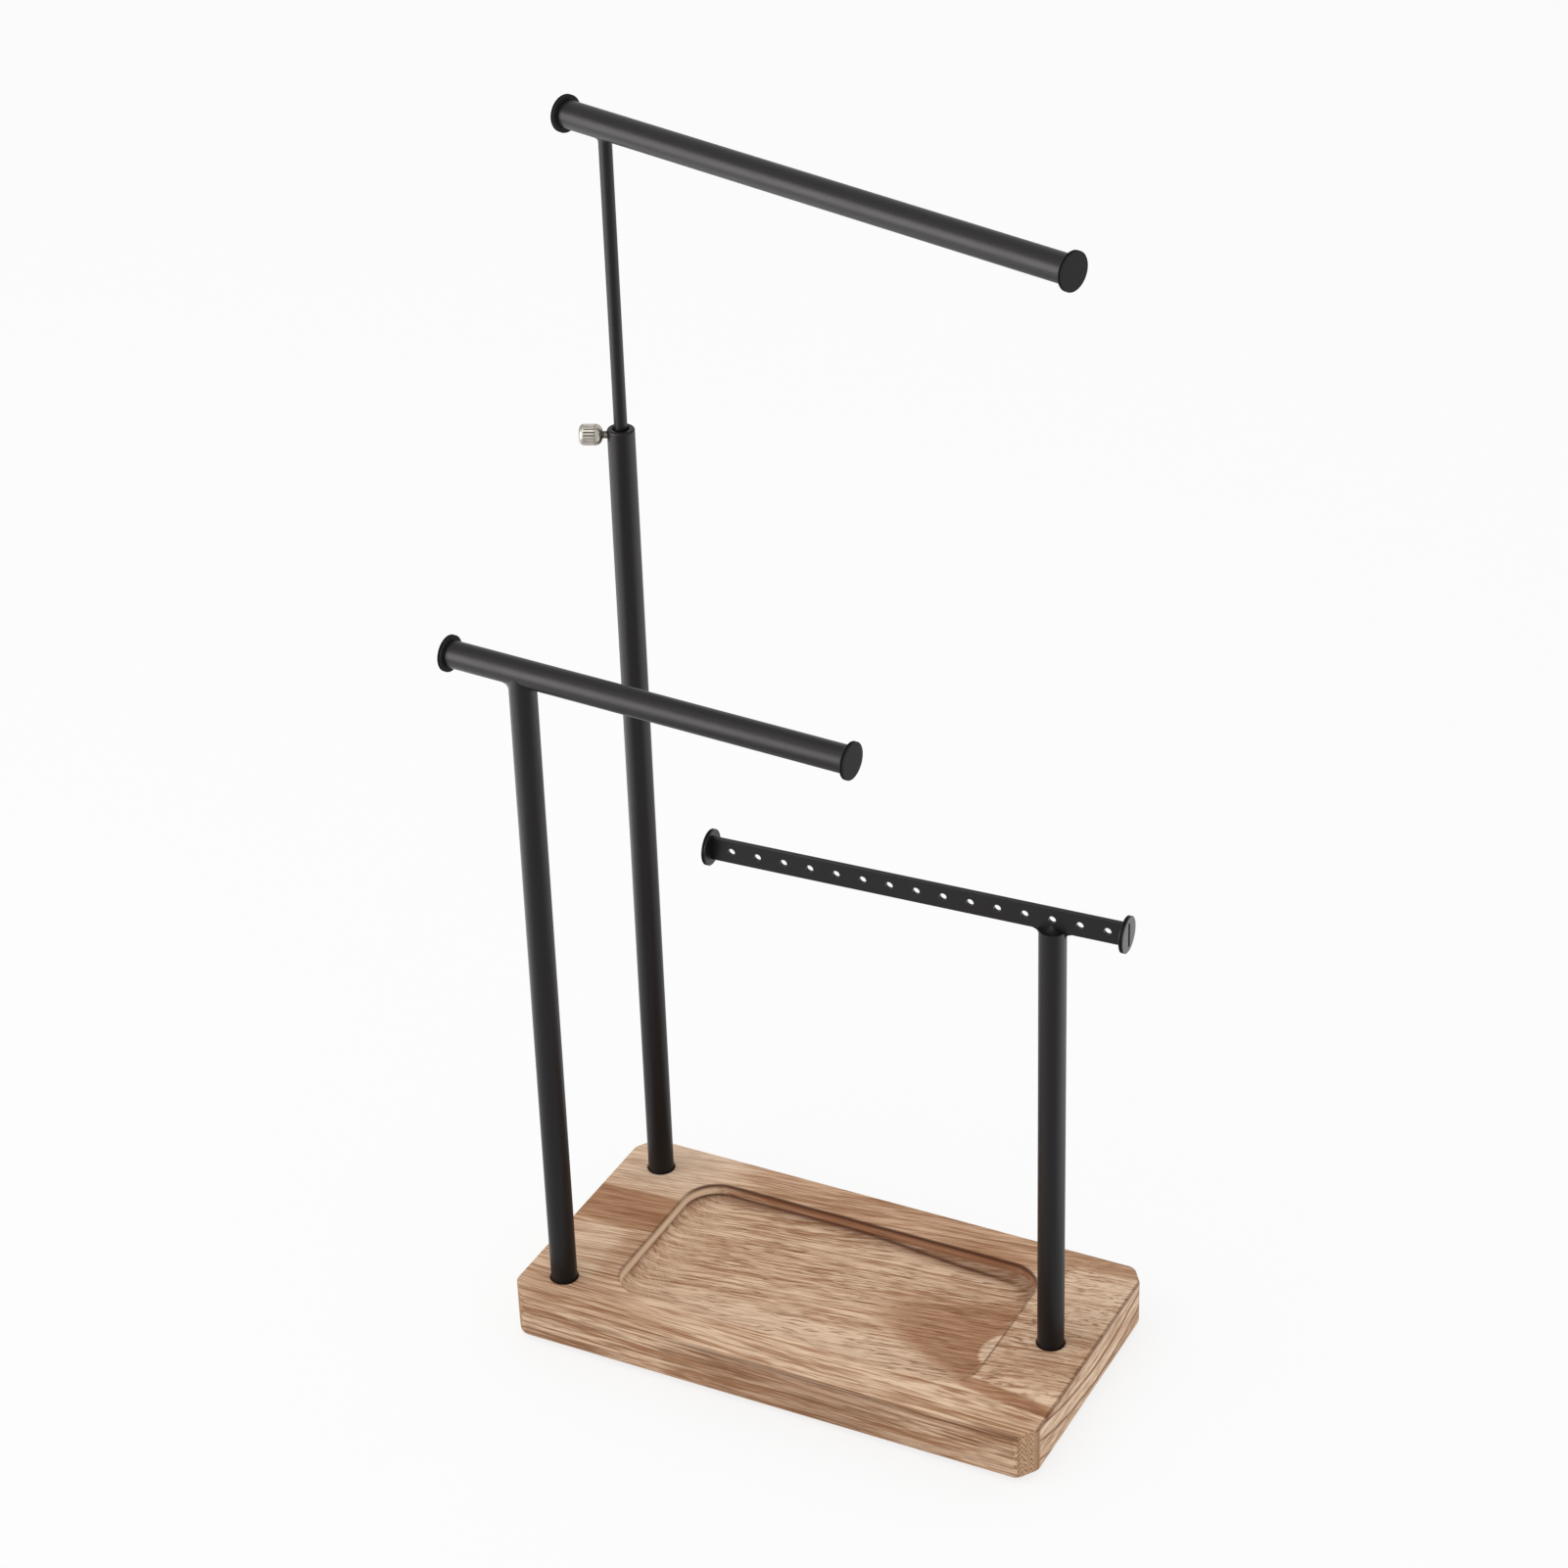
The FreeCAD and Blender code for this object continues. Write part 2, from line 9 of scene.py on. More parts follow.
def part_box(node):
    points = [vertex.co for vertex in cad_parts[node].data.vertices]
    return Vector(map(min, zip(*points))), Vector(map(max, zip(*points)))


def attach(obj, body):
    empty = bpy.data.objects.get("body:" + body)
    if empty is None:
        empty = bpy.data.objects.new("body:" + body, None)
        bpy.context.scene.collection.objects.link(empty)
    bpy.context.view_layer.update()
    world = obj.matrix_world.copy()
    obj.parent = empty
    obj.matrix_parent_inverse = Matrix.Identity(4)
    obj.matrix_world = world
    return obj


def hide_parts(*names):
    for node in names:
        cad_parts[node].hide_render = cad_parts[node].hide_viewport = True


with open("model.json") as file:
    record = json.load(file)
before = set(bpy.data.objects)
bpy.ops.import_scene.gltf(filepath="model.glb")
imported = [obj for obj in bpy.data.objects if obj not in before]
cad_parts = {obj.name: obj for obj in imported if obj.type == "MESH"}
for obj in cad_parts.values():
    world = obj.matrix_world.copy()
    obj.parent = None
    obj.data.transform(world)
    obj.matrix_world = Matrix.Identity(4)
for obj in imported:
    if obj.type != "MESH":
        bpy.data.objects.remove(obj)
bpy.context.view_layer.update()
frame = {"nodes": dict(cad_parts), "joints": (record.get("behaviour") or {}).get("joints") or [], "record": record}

nodes = frame["nodes"]
millimetre = 0.001

# Sizes in millimetres: the board's box comes from the frame, the tray's shape is that of the CAD board.
board_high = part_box("base_board")[1] / millimetre
board_half_x = board_high.x
board_half_y = board_high.y
board_top = board_high.z
corner_cut_x = 5.3
corner_cut_y = 7.9
tray_half_x = 74.0
tray_half_y = 38.5
tray_corner = 14.0
tray_wall_foot = board_top - 4.5
tray_floor = board_top - 7.5
post_radius = 5.0
post_axes = []
for tube in ("rear_post_tube", "front_post_tube", "right_post_tube"):
    tube_low, tube_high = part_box(tube)
    post_axes.append((tube_low + tube_high) / (2 * millimetre))

# The clamp screw, measured from the axis of its post out along its own axis.
clamp_turn = next(joint for joint in frame["joints"] if joint["name"] == "clamp_turn")
screw_start = Vector(clamp_turn["pos_m"]) / millimetre
screw_axis = Vector(clamp_turn["axis"])
stud_tip = 2.6
knob_inner_face = 6.7
knurl_start = 9.1
stud_end = 12.5
knurl_end = 13.2
stud_radius = 1.5
stud_chamfer = 0.3
knob_radius = 3.85
thread_pitch = 0.5
thread_depth = 0.25
turned_ring = 0.35

# Soft ovals on the board's plan: the middle's x and y, then the reach along x and y.
pale_rear_left = (-86.0, 44.0, 36.0, 30.0)
pale_rear_right = (96.0, 32.0, 26.0, 30.0)
pale_front_rim = (24.0, -48.0, 56.0, 11.0)
pale_left_top = (-91.0, -13.0, 20.0, 13.0)
pale_floor_front = (2.0, -28.0, 78.0, 17.0)
pale_wedge = (72.5, -4.5, 7.0, 10.5)
bare_wedge = (72.0, -4.5, 6.5, 9.5)
brown_rear_rim = (50.0, 41.0, 34.0, 8.0)
worn_tray_left = (-77.0, -18.0, 9.0, 30.0)
worn_front_right = (100.0, -50.0, 24.0, 10.0)
worn_right_edge = (107.0, -4.0, 9.0, 24.0)
worn_front_left = (-76.0, -50.0, 46.0, 16.0)
worn_right_top = (92.0, -15.0, 24.0, 13.0)
curly_floor = (-8.0, -25.0, 28.0, 10.0)

# Numbers of the sockets of a Mix node that blends colours.
mix_factor = 0
mix_first = 6
mix_second = 7
mix_result = 2


def linear(red, green, blue):
    """A colour written in screen values from 0 to 255, as the shader takes it."""
    def channel(value):
        share = value / 255
        return share / 12.92 if share <= 0.04045 else ((share + 0.055) / 1.055) ** 2.4
    return (channel(red), channel(green), channel(blue), 1.0)


tan_dark = linear(162, 118, 85)
tan_light = linear(230, 199, 169)
tan_pale = linear(226, 198, 171)
face_brown = linear(132, 93, 66)
heart_dark = linear(140, 95, 64)
heart_light = linear(180, 136, 103)
# The next two end-grain colours are made paler to make up for the light the board's ends miss: partly painted
# light.
end_dark_with_painted_light = linear(206, 170, 138)
end_light_with_painted_light = linear(242, 216, 188)
ring_brown = linear(112, 72, 44)
pore_brown = linear(118, 74, 44)
fleck_pale = linear(226, 200, 170)
cut_tan = linear(198, 162, 128)
cut_brown = linear(118, 78, 48)
# The next colour paints light onto the left wall; the one after paints shade onto the rear wall.
wall_pale_painted_light = linear(244, 220, 192)
wall_shade_brown = linear(160, 112, 82)
# The next colour darkens the cove: painted shade. The one after darkens dark lines, which at the rim, the wall's
# foot and the post sockets are painted shade.
cove_shade_brown = linear(110, 72, 44)
line_and_shade_brown = linear(70, 30, 8)
sanded_pale = linear(214, 188, 160)

coat_dark = (0.0050, 0.0046, 0.0047, 1)
coat_light = (0.0072, 0.0067, 0.0068, 1)
coat_shine = (1.0, 0.94, 0.96, 1)
cap_dark = (0.012, 0.0116, 0.0117, 1)
cap_light = (0.016, 0.0154, 0.0155, 1)
nickel_dark = (0.36, 0.33, 0.29, 1)
nickel_light = (0.52, 0.49, 0.44, 1)
# The next colour darkens the knob's outer end: painted shade.
nickel_end_shade = (0.15, 0.14, 0.125, 1)
# The next colour darkens the knurl's valleys, neck and thread root: painted shade.
recess_shade = (0.06, 0.054, 0.047, 1)
zinc_dark = (0.50, 0.51, 0.53, 1)
zinc_light = (0.66, 0.67, 0.69, 1)
plastic_dark = (0.02, 0.02, 0.02, 1)
plastic_light = (0.035, 0.035, 0.035, 1)
rubber_dark = (0.018, 0.018, 0.018, 1)
rubber_light = (0.03, 0.03, 0.03, 1)
floor_dark = (0.90, 0.90, 0.90, 1)
floor_light = (0.91, 0.91, 0.91, 1)
white = (1, 1, 1, 1)


class Wire:
    """A socket of a material's nodes. Sums on it add the Math nodes that work them out."""

    def __init__(self, tree, socket=None):
        self.tree = tree
        self.socket = socket

    def node(self, kind, settings=None, sockets=None, out=0):
        """Adds a node of that type: its settings first, then the values or links of its sockets."""
        made = self.tree.nodes.new("ShaderNode" + kind)
        for name, value in (settings or {}).items():
            setattr(made, name, value)
        for name, value in (sockets or {}).items():
            if isinstance(value, Wire):
                self.tree.links.new(value.socket, made.inputs[name])
            else:
                made.inputs[name].default_value = value
        return Wire(self.tree, made.outputs[out])

    def math(self, operation, *values):
        return self.node("Math", {"operation": operation}, dict(enumerate(values)))

    def __add__(self, other):
        return self.math("ADD", self, other)

    def __radd__(self, other):
        return self.math("ADD", other, self)

    def __sub__(self, other):
        return self.math("SUBTRACT", self, other)

    def __rsub__(self, other):
        return self.math("SUBTRACT", other, self)

    def __mul__(self, other):
        return self.math("MULTIPLY", self, other)

    def __rmul__(self, other):
        return self.math("MULTIPLY", other, self)

    def __truediv__(self, other):
        return self.math("DIVIDE", self, other)

    def __abs__(self):
        return self.math("ABSOLUTE", self)

    def rise(self, low, high):
        """0 below low, 1 above high, and a smooth step between; it falls where low is the larger."""
        return self.node("MapRange", {"interpolation_type": "SMOOTHSTEP"},
                         {"Value": self, "From Min": low, "From Max": high})

    def within(self, low, high, soft):
        """1 between low and high, with soft edges."""
        return self.rise(low - soft, low + soft) * self.rise(high + soft, high - soft)

    def near(self, middle, width):
        """1 at a value, falling to 0 at a width to either side."""
        return abs(self - middle).rise(width, 0)

    def split(self):
        """The three parts of a vector."""
        parts = self.node("SeparateXYZ", sockets={0: self}).socket.node
        return [Wire(self.tree, socket) for socket in parts.outputs]


def place_in_millimetres(start):
    """x, y and z of the object's own frame, in millimetres."""
    point = start.node("TexCoord", out="Object")
    return point.node("VectorMath", {"operation": "SCALE"}, {0: point, "Scale": 1 / millimetre}).split()


def cloud(x, y, z, detail=2.0, roughness=0.5, seed=0.0):
    """Noise from 0 to 1 at a point whose axes are already stretched."""
    point = x.node("CombineXYZ", sockets={0: x + seed, 1: y, 2: z})
    return point.node("TexNoise", {"noise_dimensions": "3D"},
                      {"Vector": point, "Scale": 1.0, "Detail": detail, "Roughness": roughness})


def tint(factor, first, second):
    """Blends two colours."""
    return factor.node("Mix", {"data_type": "RGBA", "clamp_factor": True},
                       {mix_factor: factor, mix_first: first, mix_second: second}, out=mix_result)


def strongest(first, *others):
    """The largest of several masks at each point."""
    result = first
    for mask in others:
        result = result.math("MAXIMUM", result, mask)
    return result


def distance(along, across):
    """The length of a step along two axes."""
    return along.math("SQRT", along * along + across * across)


def outline_distance(x, y, half_x, half_y, corner):
    """How far a point lies outside a rounded rectangle, negative inside it."""
    over_x = abs(x) - (half_x - corner)
    over_y = abs(y) - (half_y - corner)
    outside = distance(strongest(over_x, 0), strongest(over_y, 0))
    inside = x.math("MINIMUM", strongest(over_x, over_y), 0)
    return outside + inside - corner


def new_finish(name, settings):
    """A material with one principled shader; the settings are its steady socket values."""
    material = bpy.data.materials.new(name)
    material.use_nodes = True
    tree = material.node_tree
    shader = tree.nodes["Principled BSDF"]
    for socket, value in settings.items():
        shader.inputs[socket].default_value = value
    return material, shader, Wire(tree)


def feed(shader, socket, wire):
    wire.tree.links.new(wire.socket, shader.inputs[socket])


def roughen(shader, height, relief, strength):
    """Lets a height field from 0 to 1 stand out of the surface, with its relief in millimetres."""
    sockets = {"Strength": strength, "Distance": relief * millimetre, "Height": height}
    feed(shader, "Normal", height.node("Bump", sockets=sockets))


class BoardPlace:
    """Where a point of the board lies, and how the fibres run there."""

    def __init__(self, start):
        self.x, self.y, self.z = place_in_millimetres(start)
        faces = start.node("TexCoord", out="Normal").split()
        self.side = abs(faces[2]).rise(0.75, 0.25)
        self.end = abs(faces[0]).rise(0.87, 0.97)
        self.over_x = abs(self.x) - board_half_x
        self.over_y = abs(self.y) - board_half_y
        self.depth = board_top - self.z
        self.tray = outline_distance(self.x, self.y, tray_half_x, tray_half_y, tray_corner)
        self.above = self.z.rise(tray_floor - 4.0, tray_floor - 2.0)
        self.upper = self.z.rise(tray_wall_foot + 1.0, board_top - 1.5) * self.tray.rise(-0.6, 0.0)
        self.low = self.z.rise(tray_wall_foot + 0.5, tray_floor + 0.8) * self.tray.rise(0.6, 0.0) * self.above
        self.right = self.x.rise(66.0, 76.0) * self.y.rise(-38.0, -30.0) * self.upper
        self.level = tray_floor + (self.z - tray_floor) * (0.35 + 0.65 * self.side)
        lean = 0.15 * self.y.rise(-50.0, -18.0) * (1 - self.side)
        wander = 3.4 * (cloud(self.x / 70.0, self.y / 24.0, self.z / 14.0, detail=1.0) - 0.5)
        curl = cloud(self.x / 13.0, self.y / 5.0, self.z / 9.0, detail=1.0, seed=37.0) - 0.5
        self.across = self.y - lean * self.x + wander + 5.0 * self.spot(curly_floor) * curl
        self.broad = self.grain(length=130.0, width=8.0, seed=3.1)
        self.streak = self.grain(length=52.0, width=2.0, seed=11.7, detail=3.0)
        self.fibre = self.grain(length=16.0, width=0.65, seed=23.9).rise(0.38, 0.62)
        wave = 1.4 * (cloud(self.y / 16.0, self.z / 24.0, self.x / 60.0, detail=2.0, seed=41.0) - 0.5)
        from_heart = self.y - 8.0
        self.ring = self.depth + 0.0032 * from_heart * from_heart + wave

    def oval(self, shape):
        """How far out a point of the plan lies from an oval's middle, squared: 1 on the oval's edge."""
        x, y, reach_x, reach_y = shape
        over_x = (self.x - x) / reach_x
        over_y = (self.y - y) / reach_y
        return over_x * over_x + over_y * over_y

    def spot(self, shape):
        """A soft oval on the board's plan: 1 in its middle, 0 outside it."""
        return self.oval(shape).rise(1.0, 0.0)

    def grain(self, length, width, seed, detail=2.0):
        """Noise drawn out along the fibres, and along the ring lines on the board's ends."""
        flat = cloud(self.x / length, self.across / width, self.level / width, detail, 0.6, seed)
        cut = cloud(self.y / (0.5 * length), self.z / width, self.x / length, detail, 0.6, seed + 7.0)
        return flat + self.end * (cut - flat)


def wood_ground(place):
    """Tan wood with light and dark streaks, paler in some places."""
    calm = 1 - 0.4 * strongest(place.low, place.right)
    bold = 1.7 + 0.9 * place.side * place.x.rise(-90.0, -40.0)
    streaks = 1.1 * (place.broad - 0.5) + bold * (place.streak - 0.5)
    tone = 0.5 + calm * streaks + 0.55 * (place.fibre - 0.5)
    tan = tint(tone.rise(0.02, 0.98), tan_dark, tan_light)
    face_dark = strongest(0.5 * place.x.within(-34.0, 62.0, 26.0), 0.2 * place.x.rise(56.0, 76.0),
                          0.12 * place.x.rise(-50.0, -62.0))
    tan = tint(place.side * face_dark * (1 - place.end), tan, face_brown)
    pale_top = strongest(place.spot(pale_rear_left), place.spot(pale_rear_right) * 0.6,
                         place.spot(pale_front_rim) * 0.1, place.spot(pale_left_top) * 0.5)
    pale_floor = strongest(place.spot(pale_floor_front) * 0.85, place.spot(pale_wedge).rise(0.0, 0.3))
    pale = strongest(pale_top * place.upper, pale_floor * place.low)
    return tint(pale * (0.55 + 0.35 * tone.rise(0.1, 0.7)), tan, tan_pale), tone


def heart_wood(place):
    """Where the brown heart wood comes to the surface."""
    x, y = place.x, place.y
    ragged = 4.0 * (place.streak - 0.5) + 5.0 * (place.broad - 0.5)
    left_band = (y - 0.06 * x + 0.25 * ragged).within(3.2, 26.3, 0.9) * x.rise(-70.0, -73.0)
    right_streak = (y + 0.13 * x + 0.1 * ragged).within(-27.4, -20.6, 0.8) * x.rise(62.0, 74.0)
    rear_rim = (y + 0.7 * ragged).rise(37.0, 41.0) * x.rise(-66.0, -46.0) * x.rise(84.0, 74.0) * 0.55
    rear_corner = (y - 0.1 * x + 0.3 * ragged).rise(36.0, 38.5) * x.rise(70.0, 80.0) * 0.8
    worn = strongest(place.spot(worn_tray_left) * 0.5, place.spot(worn_front_right) * 0.5,
                     place.spot(worn_right_edge) * 0.5, place.spot(worn_front_left) * 0.45,
                     place.spot(worn_right_top) * 0.55)
    bands = strongest(left_band, right_streak, rear_rim, place.spot(brown_rear_rim), rear_corner)
    top = strongest(bands, worn) * place.upper
    dashed = ragged + 3.4 * (place.fibre - 0.5)
    patch = (x + 4.0 * dashed).rise(16.0, 40.0) * (y - 0.25 * x + 2.0 * dashed).rise(15.0, 3.0)
    patch = patch * (y + 0.5 * x + dashed).rise(2.0, 12.0)
    wedge = (place.oval(bare_wedge) + 0.03 * ragged).rise(1.1, 0.8)
    ends = place.ring.within(16.2, 19.0, 0.8) * place.end * 0.4
    return strongest(top, patch * (1 - wedge) * place.low, ends)


def wood_pores(place):
    """Short dark dashes along the fibres, crowded in some places."""
    long_dash = place.grain(length=9.0, width=0.72, seed=57.0, detail=1.0)
    short_dash = place.grain(length=4.6, width=0.9, seed=61.0, detail=1.0)
    dash = long_dash + place.right * (short_dash - long_dash)
    crowd = cloud(place.x / 26.0, place.across / 7.0, place.z / 8.0, detail=1.0, seed=71.0)
    share = strongest(place.low * place.x.rise(-68.0, -54.0), place.right) * 0.6 + 0.4
    dash = (dash + 0.035 * place.right).rise(0.55, 0.64)
    return dash * (0.35 + 0.65 * crowd.rise(0.34, 0.58)) * share * (1 - 0.8 * place.end)


def edge_lines(place):
    """Straight dark lines on the long edges and ring lines on the ends of the board."""
    thin = place.grain(length=60.0, width=0.9, seed=131.0, detail=3.0)
    long_edge = thin.rise(0.50, 0.40) * place.side * (1 - place.end) * 0.52
    rings = strongest(place.ring.near(8.7, 1.0), place.ring.near(15.7, 0.9), place.ring.near(23.8, 0.9) * 0.7)
    return strongest(long_edge, rings * place.end * 0.9)


def corner_cuts(place):
    """The flat cuts at the upright corners, their chevron grain, and the dark lines along their edges."""
    width = math.hypot(corner_cut_x, corner_cut_y)
    inset = corner_cut_x * corner_cut_y
    plane = (corner_cut_y * place.over_x + corner_cut_x * place.over_y + inset) / width
    cut = plane.rise(-0.7, -0.3) * place.side
    along = (corner_cut_x * place.over_x - corner_cut_y * place.over_y) / width
    jitter = cloud(place.x / 2.5, place.y / 2.5, place.z / 2.5, seed=91.0)
    zigzag = place.z + 1.6 * along.math("PINGPONG", along + 2.0 * jitter, 1.9) + 2.5 * jitter
    chevrons = zigzag.math("PINGPONG", zigzag, 1.15).rise(0.62, 0.12) * along.rise(5.0, 3.6)
    grain = strongest(chevrons * 0.9, along.rise(3.8, 5.0) * 0.4)
    on_long_edge = (place.over_x + corner_cut_x).near(0.3, 0.6) * place.over_y.rise(-1.5, -0.6)
    on_end = (place.over_y + corner_cut_y).near(0.3, 0.6) * place.over_x.rise(-1.5, -0.6)
    return cut, grain, strongest(on_long_edge, on_end) * place.side


def post_seat_shade(place):
    """Painted shade: dark rings in the gaps around the sockets that the posts stand in."""
    edges = []
    for axis in post_axes:
        from_axis = distance(place.x - axis.x, place.y - axis.y)
        edges.append(from_axis.rise(post_radius + 1.0, post_radius + 0.3))
    return strongest(*edges) * place.upper


def rim_crease_shade_and_arris_lines(place):
    """Dark lines at the rim, the foot of the wall and the arrises, and a dark cove; the rim and wall-foot lines
    and the cove are painted shade.
    """
    x, z, tray = place.x, place.z, place.tray
    behind = place.y.rise(16.0, 34.0)
    left = x.rise(-62.0, -72.0)
    right = x.rise(62.0, 72.0)
    rim_share = strongest(behind, left * 0.55, right * 0.7) * place.y.rise(-38.0, -26.0)
    # Painted shade: a dark line under the tray's rim.
    rim_shadow_line = tray.near(0.1, 1.3) * z.rise(board_top - 2.2, board_top - 0.4) * rim_share
    drift = 3.0 * ((x + 12.0) / 69.0).rise(0.0, 1.0)
    # Painted shade: a dark line in the crease at the foot of the wall.
    crease_shade = (tray + drift).near(0.0, 1.2) * place.above
    crease_shade = crease_shade * z.rise(tray_wall_foot + 0.9, tray_wall_foot + 0.1)
    crease_share = strongest(behind * x.rise(66.0, 50.0), left * 0.5) * place.y.rise(-36.0, -8.0)
    on_edge = strongest(place.over_x, place.over_y).rise(-1.3, -0.7)
    arris = on_edge * z.rise(board_top - 1.5, board_top - 0.7) * x.rise(70.0, 104.0)
    front = z.within(board_top - 2.6, board_top - 1.4, 0.5) * place.y.rise(-54.0, -54.8)
    front = front * x.rise(-64.0, -20.0)
    # Painted shade: the cove at the foot of the rear and left walls darkens towards the crease.
    cove_shade = (tray + drift).rise(-5.0, 0.0) * tray.rise(0.8, 0.2)
    cove_shade = cove_shade * z.rise(tray_wall_foot + 0.4, tray_wall_foot - 0.4) * place.above
    lines = strongest(rim_shadow_line * 0.85, crease_shade * crease_share * 0.82, arris * 0.5, front * 0.45)
    return lines, cove_shade * strongest(behind * 0.62, left * 0.2)


def sanding_marks(place):
    """Slanting scratches in the left end of the tray's floor."""
    slant = (place.x + place.y) / 0.9
    along = (place.x - place.y) / 9.0
    scratch = cloud(slant, along, place.z / 5.0, detail=2.0, seed=83.0)
    return scratch.rise(0.40, 0.66) * place.x.rise(-54.0, -64.0) * place.low


def board_wood():
    """Tan wood with brown heart bands, short dark pores and ring lines on its ends."""
    material, shader, start = new_finish("board_wood", {"Specular IOR Level": 0.12})
    place = BoardPlace(start)
    colour, tone = wood_ground(place)
    heart = heart_wood(place)
    colour = tint(heart * 0.92, colour, tint(tone.rise(0.0, 1.0), heart_dark, heart_light))
    # End grain in ring bands, its colours paler to make up for the light the ends miss: partly painted light.
    end_band = 0.45 + 0.4 * place.ring.within(9.4, 14.8, 0.6)
    colour = tint(end_band * place.end, colour, tint(tone.rise(0.1, 0.9), end_dark_with_painted_light, end_light_with_painted_light))
    colour = tint(edge_lines(place), colour, ring_brown)
    pores = wood_pores(place) * (1 - 0.6 * heart * place.upper)
    colour = tint(pores * 0.7, colour, pore_brown)
    fleck = place.grain(length=11.0, width=0.8, seed=101.0, detail=1.0).rise(0.57, 0.68)
    fleck = fleck * 0.45 * strongest(place.low, place.right) * (1 - 0.6 * heart)
    colour = tint(fleck, colour, fleck_pale)
    cut, cut_grain, cut_edges = corner_cuts(place)
    colour = tint(cut * 0.8, colour, tint(cut_grain, cut_tan, cut_brown))
    wall = place.tray.near(0.0, 0.8) * place.z.within(tray_wall_foot, board_top - 0.3, 0.3)
    # Painted light: the left wall faces away from the key lamp and is made paler.
    colour = tint(wall * place.x.rise(-60.0, -70.0) * 0.85, colour, wall_pale_painted_light)
    # Painted shade: the rear wall below the rim is darker brown.
    rear_wall_shade = wall * place.y.rise(10.0, 32.0) * place.x.rise(-72.0, -34.0)
    colour = tint(rear_wall_shade * 0.65, colour, wall_shade_brown)
    lines, cove_shade = rim_crease_shade_and_arris_lines(place)
    # Painted shade: the cove darkens towards the wall's foot.
    colour = tint(cove_shade, colour, cove_shade_brown)
    # Dark lines: those at the rim, the wall's foot and the post sockets are painted shade.
    colour = tint(strongest(lines, cut_edges * 0.35, post_seat_shade(place) * 0.8), colour, line_and_shade_brown)
    colour = tint(sanding_marks(place) * 0.4, colour, sanded_pale)
    feed(shader, "Base Color", colour)
    feed(shader, "Roughness", 0.52 + 0.16 * place.streak)
    roughen(shader, 0.12 * place.fibre + 0.4 * place.streak - 0.6 * pores, relief=0.12, strength=0.5)
    return material


def black_metal(name, dark, light, roughness, shine):
    """Satin black coat: fine orange peel, with a slow drift in its tone and gloss."""
    material, shader, start = new_finish(name, {"Specular IOR Level": shine, "Specular Tint": coat_shine})
    x, y, z = place_in_millimetres(start)
    drift = cloud(x / 18.0, y / 18.0, z / 30.0, detail=2.0)
    peel = cloud(x / 0.45, y / 0.45, z / 0.45, detail=2.0, seed=5.0)
    feed(shader, "Base Color", tint(drift, dark, light))
    feed(shader, "Roughness", roughness + 0.10 * (drift - 0.5) + 0.08 * (peel - 0.5))
    roughen(shader, peel, relief=0.02, strength=0.35)
    return material


def clamp_nickel():
    """Dulled nickel on the clamp screw: painted shade in its knurl, neck and thread, and on its outer end, with
    turned rings there.
    """
    material, shader, start = new_finish("nickel", {"Metallic": 1.0})
    x, y, z = place_in_millimetres(start)
    off_x = x - screw_start.x
    off_y = y - screw_start.y
    along = screw_axis.x * off_x + screw_axis.y * off_y
    across = screw_axis.x * off_y - screw_axis.y * off_x
    radius = distance(across, z - screw_start.z)
    dull = cloud(x / 1.6, y / 1.6, z / 1.6, detail=3.0)
    colour = tint(dull, nickel_dark, nickel_light)
    # Painted shade: the outer end face is darkened, with turned rings in it.
    outer_end = along.rise(knurl_end, knurl_end + 0.9)
    rings = radius.math("PINGPONG", radius, turned_ring).rise(0.0, turned_ring)
    colour = tint(outer_end * (0.5 + 0.35 * rings), colour, nickel_end_shade)
    # Painted shade: darker in the knurl's valleys, at its step, in the neck and in the thread's root.
    on_knurl = along.within(knurl_start, knurl_end, 0.15)
    valley = radius.rise(knob_radius - 0.03, knob_radius - 0.28) * on_knurl
    step = along.near(knurl_start, 0.3) * radius.rise(knob_radius - 0.6, knob_radius - 0.2)
    neck = along.near(knob_inner_face, 0.6) * radius.rise(stud_radius + 1.4, stud_radius + 0.5)
    root = radius.rise(stud_radius - 0.03, stud_radius - thread_depth) * along.rise(stud_end, stud_end - 0.1)
    recess_shade_mask = strongest(valley * 0.75, step * 0.7, neck * 0.9, root * 0.45)
    feed(shader, "Base Color", tint(recess_shade_mask, colour, recess_shade))
    feed(shader, "Roughness", 0.34 + 0.2 * (dull - 0.5) + 0.15 * outer_end)
    roughen(shader, rings * outer_end, relief=0.05, strength=0.4)
    return material


def plated_metal(name, dark, light, roughness):
    """Plated steel with turning marks and a slight dulling."""
    material, shader, start = new_finish(name, {"Metallic": 1.0})
    x, y, z = place_in_millimetres(start)
    dull = cloud(x / 2.5, y / 2.5, z / 2.5, detail=3.0)
    marks = cloud(x / 0.3, y / 0.3, z / 0.12, detail=1.0, seed=9.0)
    feed(shader, "Base Color", tint(dull, dark, light))
    feed(shader, "Roughness", roughness + 0.2 * (dull - 0.5))
    roughen(shader, marks, relief=0.03, strength=0.3)
    return material


def moulded(name, dark, light, roughness, grit):
    """Plain moulded plastic or rubber with a fine grit."""
    material, shader, start = new_finish(name, {"Specular IOR Level": 0.4})
    x, y, z = place_in_millimetres(start)
    speck = cloud(x / grit, y / grit, z / grit, detail=2.0)
    patch = cloud(x / 5.0, y / 5.0, z / 5.0, detail=1.0, seed=2.0)
    feed(shader, "Base Color", tint(patch, dark, light))
    feed(shader, "Roughness", roughness + 0.15 * (speck - 0.5))
    roughen(shader, speck, relief=0.06, strength=0.4)
    return material


